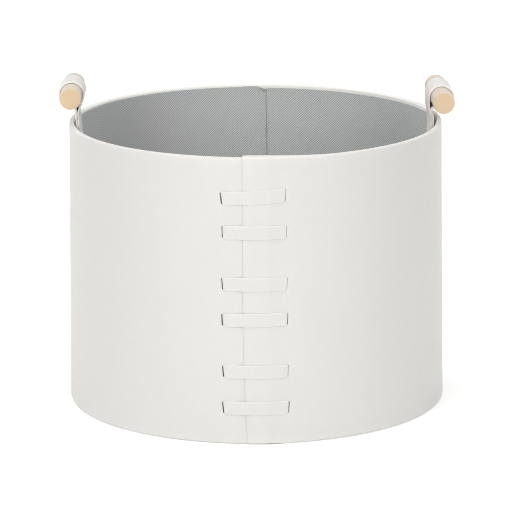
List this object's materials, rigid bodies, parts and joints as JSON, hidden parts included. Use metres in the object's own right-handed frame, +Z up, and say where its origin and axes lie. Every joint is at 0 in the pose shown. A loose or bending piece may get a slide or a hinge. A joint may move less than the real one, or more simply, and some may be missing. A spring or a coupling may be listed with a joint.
{
  "type": "storage bin",
  "caption": "Round rigid storage bin with a leather-look cover laced over its front seam, a twill lining, and wooden dowel handles held in looped straps.",
  "frame": {"origin": "centre of the underside, on the surface that the bin stands on", "axes": "+Z up; -Y is the front with the laced seam; the handles are at -X and +X"},
  "size_m": [0.3443, 0.3323, 0.284],
  "materials": {
    "cover_leather": "matte smooth off-white coated fabric, leather-look",
    "strap_leather": "smooth off-white coated fabric, satin",
    "lining_twill": "grey cotton twill with a fine diagonal rib",
    "grey_board": "raw grey cardboard",
    "panel_cloth": "off-white felted non-woven cloth",
    "dowel_wood": "raw pale hardwood, fine sanded"
  },
  "bodies": {
    "bin": {"outer_cover": "cover_leather", "wall_board": "grey_board", "base_board": "grey_board", "bottom_panel": "panel_cloth", "lining_wall": "lining_twill", "lining_floor": "lining_twill", "lace_1": "cover_leather", "lace_2": "cover_leather", "lace_3": "cover_leather", "lace_4": "cover_leather", "lace_5": "cover_leather", "lace_6": "cover_leather", "strap_tail_left": "strap_leather", "strap_tail_right": "strap_leather"},
    "handle_left": {"strap_loop_left": "strap_leather"},
    "handle_right": {"strap_loop_right": "strap_leather"},
    "dowel_left": {"dowel_left": "dowel_wood"},
    "dowel_right": {"dowel_right": "dowel_wood"}
  },
  "joints": [
    {"name": "handle_left_swing", "type": "hinge", "parent": "bin", "child": "handle_left", "pos_m": [-0.15429, -0.00135, 0.249], "axis": [0.0087, -1, 0], "range_deg": [-110, 75], "stiffness_Nm_per_rad": 0.05},
    {"name": "handle_right_swing", "type": "hinge", "parent": "bin", "child": "handle_right", "pos_m": [0.15307, 0.00641, 0.249], "axis": [-0.0419, 0.9991, 0], "range_deg": [-110, 48], "stiffness_Nm_per_rad": 0.05},
    {"name": "dowel_left_spin", "type": "hinge", "parent": "handle_left", "child": "dowel_left", "pos_m": [-0.1594, -0.00099, 0.2722], "axis": [0.0087, -0.9998, 0.0175], "continuous": true},
    {"name": "dowel_right_spin", "type": "hinge", "parent": "handle_right", "child": "dowel_right", "pos_m": [0.16112, 0.00657, 0.2663], "axis": [-0.0419, 0.9991, 0.0105], "continuous": true}
  ]
}
